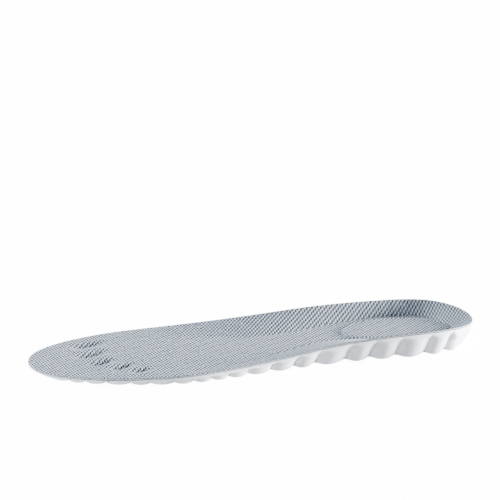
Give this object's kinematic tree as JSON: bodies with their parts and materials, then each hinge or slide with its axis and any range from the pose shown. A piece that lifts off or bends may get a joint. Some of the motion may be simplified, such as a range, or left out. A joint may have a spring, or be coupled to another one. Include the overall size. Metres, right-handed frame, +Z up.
{
  "type": "cushioned insole",
  "caption": "Full-length cushioned shoe insole for a left foot: knitted mesh cover over moulded foam with a heel cup, raised vented pads underneath and a gel cushion under the heel.",
  "frame": {"origin": "centre of the insole's outline, on the plane that the sole's pads stand on", "axes": "+X from toe to heel, +Y towards the inner (medial) side of the foot, +Z up, so the toes point along -X"},
  "size_m": [0.2704, 0.0936, 0.0167],
  "materials": {
    "knit": "grey-blue open knitted mesh, matt",
    "backing": "dark charcoal cloth, matt",
    "film": "thin clear polyurethane film",
    "foam": "white moulded polyurethane foam, matt skin",
    "gel": "red gel, glossy",
    "bond": "thin clear adhesive film"
  },
  "bodies": {
    "root": {"top_cover": "knit", "cover_backing": "backing", "barrier_film": "film", "foam_body": "foam", "heel_gel_pad": "gel", "gel_bond_film": "bond"}
  },
  "joints": []
}
